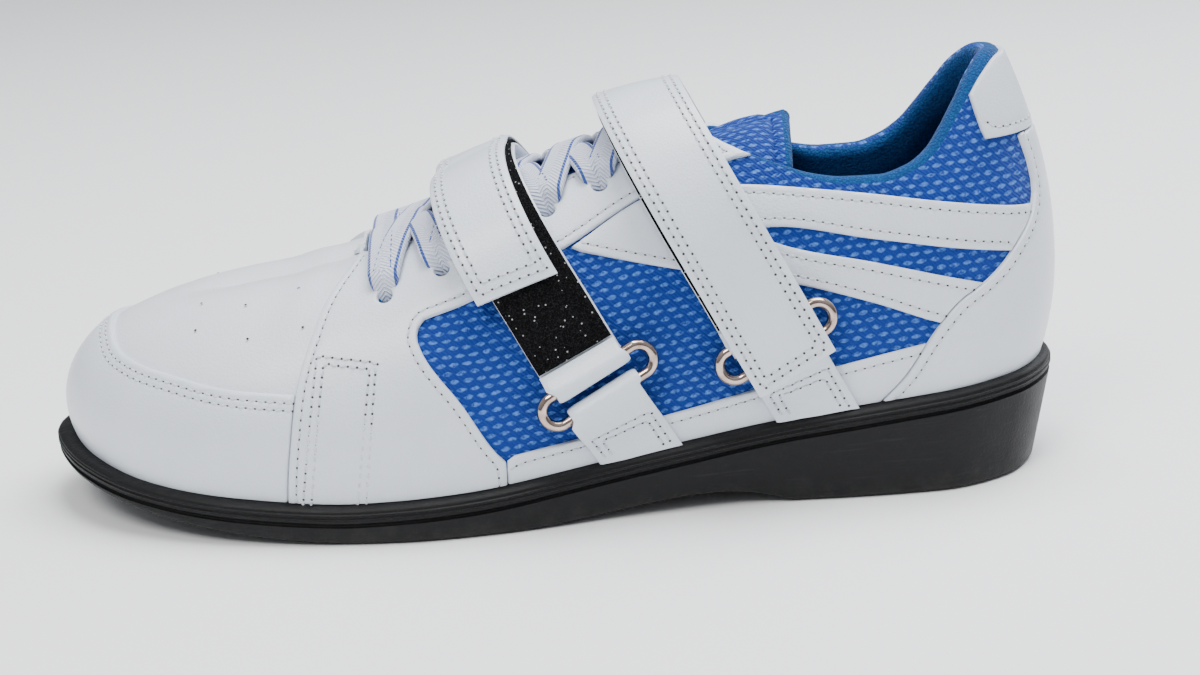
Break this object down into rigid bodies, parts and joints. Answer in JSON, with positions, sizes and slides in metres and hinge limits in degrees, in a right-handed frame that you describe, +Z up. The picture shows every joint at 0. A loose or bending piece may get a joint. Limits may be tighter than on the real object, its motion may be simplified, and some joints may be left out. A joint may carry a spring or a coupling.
{
  "type": "weightlifting shoe",
  "caption": "Low-cut weightlifting shoe with a wedge heel sole, hollow leather and mesh upper, laces, and two hook-and-loop straps through oval rings.",
  "frame": {"origin": "on the floor, under the middle of the outsole's length and width", "axes": "+X from toe to heel, +Y to the inner side of the foot, +Z up"},
  "size_m": [0.2895, 0.1042, 0.1198],
  "materials": {
    "sole": "satin moulded black rubber",
    "insole": "brushed cloth over foam",
    "upper": "blue sports mesh and white smooth leather",
    "tongue": "padded blue mesh",
    "toe_guard": "smooth white leather, stitched",
    "heel_counter": "smooth white leather, stitched",
    "heel_tab": "smooth white leather",
    "side_panel_outer": "smooth white leather, stitched",
    "eyestay_outer": "smooth white leather with eyelet holes",
    "quarter_outer": "smooth white leather, stitched",
    "rand_outer": "smooth white leather, stitched",
    "side_panel_inner": "smooth white leather, stitched",
    "eyestay_inner": "smooth white leather with eyelet holes",
    "quarter_inner": "smooth white leather, stitched",
    "rand_inner": "smooth white leather, stitched",
    "lace": "flat woven lace",
    "front_strap": "white leather strap, double stitched",
    "front_loop_tape": "black loop tape",
    "front_ring_outer": "polished metal wire",
    "front_tab_outer": "white leather tab, stitched",
    "front_ring_inner": "polished metal wire",
    "front_tab_inner": "white leather tab, stitched",
    "rear_strap": "white leather strap, double stitched",
    "rear_loop_tape": "black loop tape",
    "rear_ring_outer": "polished metal wire",
    "rear_tab_outer": "white leather tab, stitched",
    "rear_ring_inner": "polished metal wire",
    "rear_tab_inner": "white leather tab, stitched"
  },
  "bodies": {
    "root": {"sole": "sole", "insole": "insole", "upper": "upper", "tongue": "tongue", "toe_guard": "toe_guard", "heel_counter": "heel_counter", "heel_tab": "heel_tab", "side_panel_outer": "side_panel_outer", "eyestay_outer": "eyestay_outer", "quarter_outer": "quarter_outer", "rand_outer": "rand_outer", "side_panel_inner": "side_panel_inner", "eyestay_inner": "eyestay_inner", "quarter_inner": "quarter_inner", "rand_inner": "rand_inner", "lace": "lace", "front_strap": "front_strap", "front_loop_tape": "front_loop_tape", "front_ring_outer": "front_ring_outer", "front_tab_outer": "front_tab_outer", "front_ring_inner": "front_ring_inner", "front_tab_inner": "front_tab_inner", "rear_strap": "rear_strap", "rear_loop_tape": "rear_loop_tape", "rear_ring_outer": "rear_ring_outer", "rear_tab_outer": "rear_tab_outer", "rear_ring_inner": "rear_ring_inner", "rear_tab_inner": "rear_tab_inner"}
  },
  "joints": []
}
